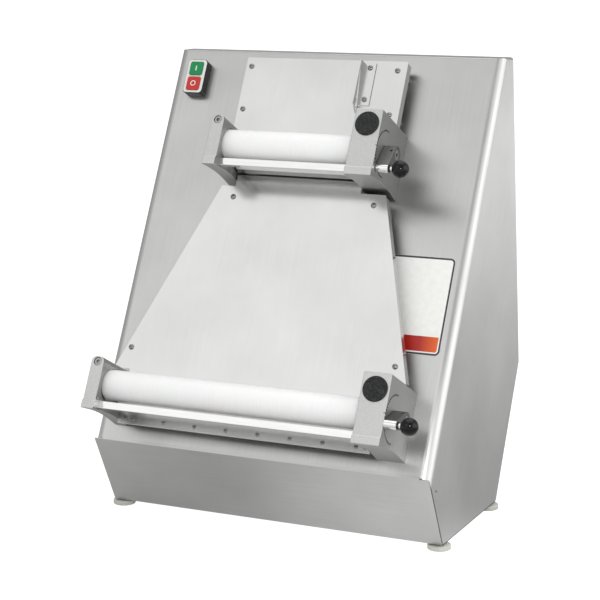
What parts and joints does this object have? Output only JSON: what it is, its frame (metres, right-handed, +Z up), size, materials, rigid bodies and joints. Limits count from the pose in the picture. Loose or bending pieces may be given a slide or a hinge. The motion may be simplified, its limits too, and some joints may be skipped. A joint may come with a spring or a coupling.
{
  "type": "dough sheeter",
  "caption": "Counter-top electric dough sheeter: two stages of adjustable rollers on a leaning panel, joined by a chute, driven by belts from a motor inside.",
  "frame": {"origin": "centre of the overall box's footprint, on the surface the feet stand on", "axes": "+Z up, -Y towards the user at the front, +X to the user's right, the side of the gap levers"},
  "size_m": [0.5866, 0.507, 0.725],
  "materials": {
    "brushed_stainless": "brushed stainless sheet",
    "satin_cast_aluminium": "satin cast aluminium",
    "polished_steel": "bright polished steel",
    "white_roller_plastic": "white food-grade roller plastic",
    "glossy_black_phenolic": "glossy black ball knob",
    "matt_black_plastic": "matt black plastic",
    "white_bezel_plastic": "white switch bezel",
    "green_button_plastic": "green push button",
    "red_button_plastic": "red push button",
    "grey_foot_rubber": "light grey foot rubber",
    "machined_steel": "machined steel",
    "grey_machine_paint": "grey machine paint",
    "black_belt_rubber": "black belt rubber"
  },
  "bodies": {
    "machine": {"base_plate": "brushed_stainless", "cable_gland": "matt_black_plastic", "casing_shell": "brushed_stainless", "control_box": "grey_machine_paint", "dough_guide": "brushed_stainless", "feed_plate": "brushed_stainless", "foot_front_left": "grey_foot_rubber", "foot_front_right": "grey_foot_rubber", "foot_rear_left": "grey_foot_rubber", "foot_rear_right": "grey_foot_rubber", "gearbox": "grey_machine_paint", "lower_bracket_screw": "machined_steel", "lower_drive_belt": "black_belt_rubber", "lower_front_panel": "brushed_stainless", "lower_front_scraper": "polished_steel", "lower_housing_cap": "matt_black_plastic", "lower_left_bearing": "machined_steel", "lower_left_bracket": "satin_cast_aluminium", "lower_rear_scraper": "brushed_stainless", "lower_right_bearing": "machined_steel", "lower_right_housing": "satin_cast_aluminium", "motor": "grey_machine_paint", "motor_bracket": "grey_machine_paint", "rear_cover": "brushed_stainless", "shaft_bracket": "grey_machine_paint", "switch_bezel": "white_bezel_plastic", "switch_housing": "matt_black_plastic", "transfer_chute": "brushed_stainless", "upper_bracket_screw": "machined_steel", "upper_drive_belt": "black_belt_rubber", "upper_front_scraper": "polished_steel", "upper_housing_cap": "matt_black_plastic", "upper_left_bearing": "machined_steel", "upper_left_bracket": "satin_cast_aluminium", "upper_rear_scraper": "brushed_stainless", "upper_right_bearing": "machined_steel", "upper_right_housing": "satin_cast_aluminium"},
    "lower_lever": {"lower_lever_arm": "satin_cast_aluminium", "lower_eccentric_axle": "machined_steel", "lower_plunger_sleeve": "matt_black_plastic"},
    "lower_index_plunger": {"lower_index_pin": "polished_steel", "lower_ball_knob": "glossy_black_phenolic"},
    "lower_front_roller_body": {"lower_front_roller": "white_roller_plastic"},
    "lower_rear_roller_body": {"lower_rear_roller": "white_roller_plastic", "lower_rear_shaft": "machined_steel", "lower_driven_pulley": "machined_steel"},
    "upper_lever": {"upper_lever_arm": "satin_cast_aluminium", "upper_eccentric_axle": "machined_steel", "upper_plunger_sleeve": "matt_black_plastic"},
    "upper_index_plunger": {"upper_index_pin": "polished_steel", "upper_ball_knob": "glossy_black_phenolic"},
    "upper_front_roller_body": {"upper_front_roller": "white_roller_plastic"},
    "upper_rear_roller_body": {"upper_rear_roller": "white_roller_plastic", "upper_rear_shaft": "machined_steel", "upper_driven_pulley": "machined_steel"},
    "drive_shaft_body": {"drive_shaft": "machined_steel", "lower_drive_pulley": "machined_steel", "upper_drive_pulley": "machined_steel"},
    "start_button_body": {"start_button": "green_button_plastic"},
    "stop_button_body": {"stop_button": "red_button_plastic"}
  },
  "joints": [
    {"name": "lower_gap_lever", "type": "hinge", "parent": "machine", "child": "lower_lever", "pos_m": [0.2417, -0.1959, 0.22422], "axis": [1, 0, 0], "range_deg": [-112, 72]},
    {"name": "lower_plunger_pull", "type": "slide", "parent": "lower_lever", "child": "lower_index_plunger", "axis": [1, 0, 0], "range_m": [0, 0.006], "stiffness_N_per_m": 600},
    {"name": "lower_front_roller_spin", "type": "hinge", "parent": "lower_lever", "child": "lower_front_roller_body", "pos_m": [-0.0168, -0.19543, 0.22718], "axis": [1, 0, 0], "continuous": true},
    {"name": "lower_rear_roller_spin", "type": "hinge", "parent": "machine", "child": "lower_rear_roller_body", "pos_m": [-0.0168, -0.15001, 0.20085], "axis": [1, 0, 0], "continuous": true},
    {"name": "upper_gap_lever", "type": "hinge", "parent": "machine", "child": "upper_lever", "pos_m": [0.1492, -0.01184, 0.58568], "axis": [1, 0, 0], "range_deg": [-144, 40]},
    {"name": "upper_plunger_pull", "type": "slide", "parent": "upper_lever", "child": "upper_index_plunger", "axis": [1, 0, 0], "range_m": [0, 0.006], "stiffness_N_per_m": 600},
    {"name": "upper_front_roller_spin", "type": "hinge", "parent": "upper_lever", "child": "upper_front_roller_body", "pos_m": [-0.0048, -0.01301, 0.58844], "axis": [1, 0, 0], "continuous": true},
    {"name": "upper_rear_roller_spin", "type": "hinge", "parent": "machine", "child": "upper_rear_roller_body", "pos_m": [-0.0048, 0.03406, 0.56231], "axis": [1, 0, 0], "continuous": true},
    {"name": "drive_shaft_spin", "type": "hinge", "parent": "machine", "child": "drive_shaft_body", "pos_m": [0.1492, 0.16372, 0.30831], "axis": [1, 0, 0], "continuous": true},
    {"name": "start_button_press", "type": "slide", "parent": "machine", "child": "start_button_body", "axis": [0, 0.8911, -0.4538], "range_m": [0, 0.003], "stiffness_N_per_m": 700},
    {"name": "stop_button_press", "type": "slide", "parent": "machine", "child": "stop_button_body", "axis": [0, 0.8911, -0.4538], "range_m": [0, 0.003], "stiffness_N_per_m": 700}
  ],
  "couplings": [
    {"joint": "upper_rear_roller_spin", "follows": "lower_rear_roller_spin", "ratio": 1},
    {"joint": "drive_shaft_spin", "follows": "lower_rear_roller_spin", "ratio": 0.65591}
  ]
}
